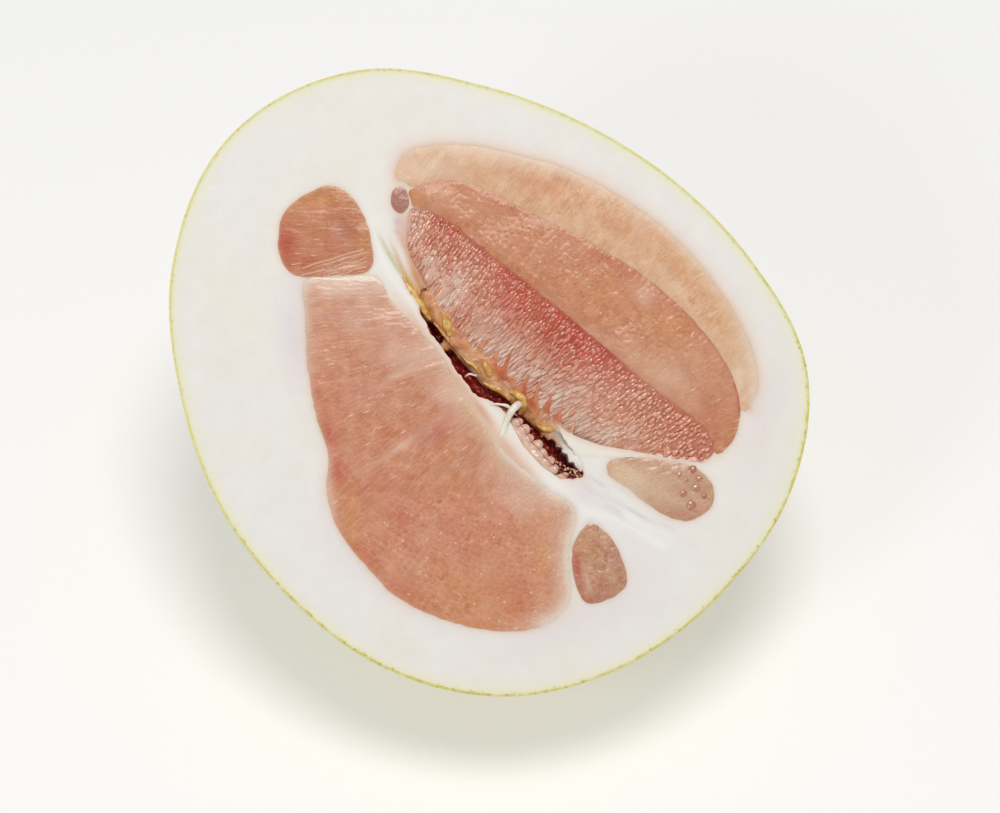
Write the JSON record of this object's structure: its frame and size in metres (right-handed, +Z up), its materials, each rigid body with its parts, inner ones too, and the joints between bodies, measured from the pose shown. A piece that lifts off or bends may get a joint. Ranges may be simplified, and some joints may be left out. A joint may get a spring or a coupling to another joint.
{
  "type": "pomelo half",
  "caption": "Half of a pomelo, cut through its core from stem end to blossom end: yellow rind, thick white pith and pink segments, leaning back on a small flat spot.",
  "frame": {"origin": "on the surface that the fruit rests on, under the middle of its box", "axes": "+Z up, +X to the right of someone who looks at the cut face, which faces towards -Y and leans back"},
  "size_m": [0.1594, 0.147, 0.1251],
  "materials": {
    "rind": "waxy yellow rind with oil-gland dots",
    "pith": "matt, spongy and white",
    "flesh": "moist, pink-orange cut vesicles",
    "red_flesh": "wet, red-pink whole vesicles",
    "membrane": "thin amber membrane, moist"
  },
  "bodies": {
    "root": {"skin": "rind", "pith": "pith", "segment_left_tip": "flesh", "segment_left": "flesh", "segment_bottom": "flesh", "segment_right_outer": "flesh", "segment_right_middle": "flesh", "segment_right_inner": "red_flesh", "segment_right_tip": "flesh", "segment_small": "flesh", "crevice_vesicles": "red_flesh", "crevice_membrane": "membrane"}
  },
  "joints": []
}
